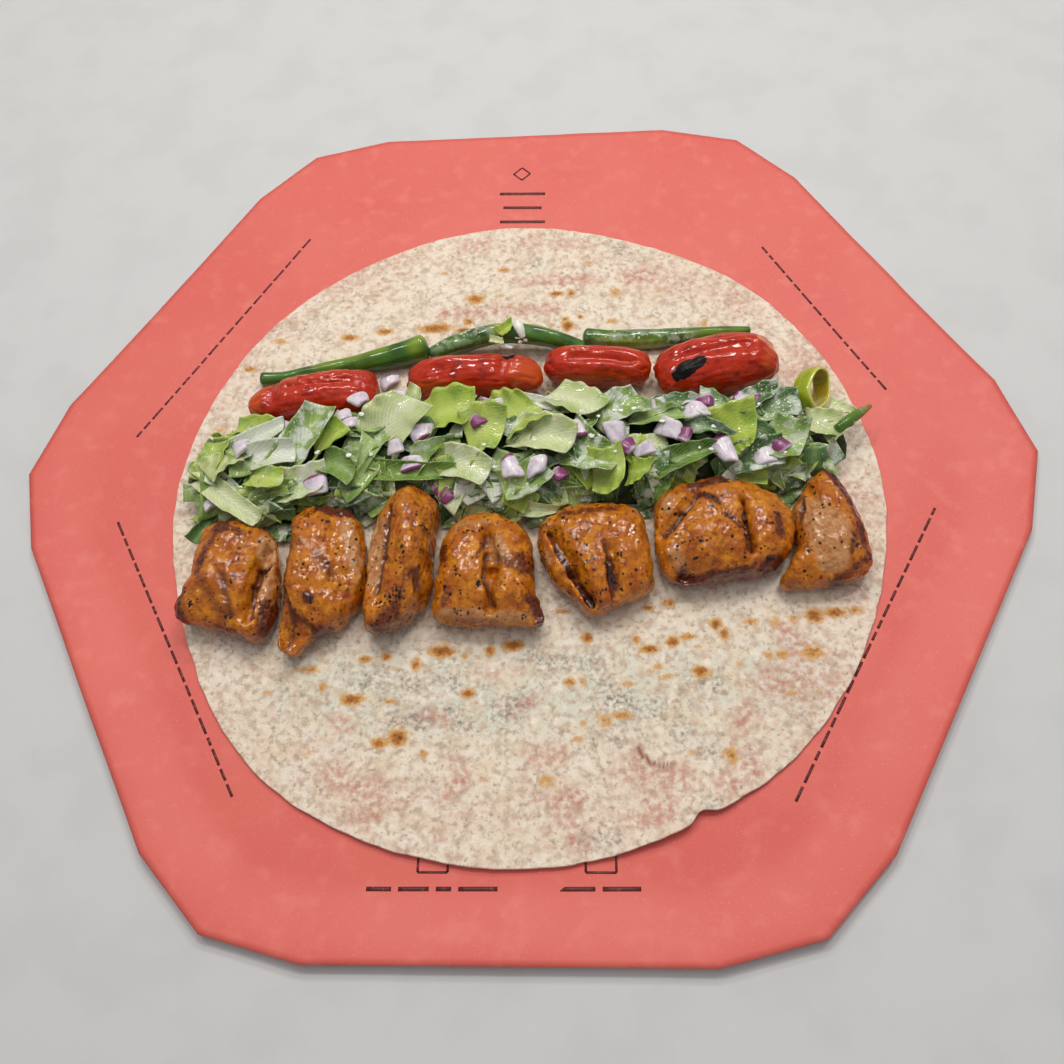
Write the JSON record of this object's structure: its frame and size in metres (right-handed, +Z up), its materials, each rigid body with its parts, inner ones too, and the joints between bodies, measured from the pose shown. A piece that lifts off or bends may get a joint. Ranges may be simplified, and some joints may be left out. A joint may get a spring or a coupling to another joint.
{
  "type": "open chicken flatbread wrap",
  "caption": "Open flatbread on its wrapping sheet, with a row of grilled chicken pieces, a strip of dressed salad, grilled tomatoes and green peppers.",
  "frame": {"origin": "under the middle of the wrapping sheet, on the surface it lies on", "axes": "+X along the row of chicken to the diner's right, +Y away from the diner, +Z up"},
  "size_m": [0.4324, 0.3932, 0.0305],
  "materials": {
    "wrapping_paper": "matt coral red coated paper",
    "bread": "dry, floury, with browned spots",
    "chicken": "glazed, browned and charred at edges",
    "tomato": "wet, wrinkled skin",
    "pepper": "oily green skin",
    "salad": "moist leaves with thin white dressing",
    "pickled_pepper": "wet yellow-green",
    "chilli": "glossy green skin"
  },
  "bodies": {
    "root": {"wrapper_sheet": "wrapping_paper", "flatbread": "bread", "chicken_1": "chicken", "chicken_2": "chicken", "chicken_3": "chicken", "chicken_4": "chicken", "chicken_5": "chicken", "chicken_6": "chicken", "chicken_7": "chicken", "tomato_1": "tomato", "tomato_2": "tomato", "tomato_3": "tomato", "tomato_4": "tomato", "pepper_1": "pepper", "pepper_2": "pepper", "pepper_3": "pepper", "salad": "salad", "pickled_pepper_ring": "pickled_pepper", "chilli_tip": "chilli"}
  },
  "joints": []
}
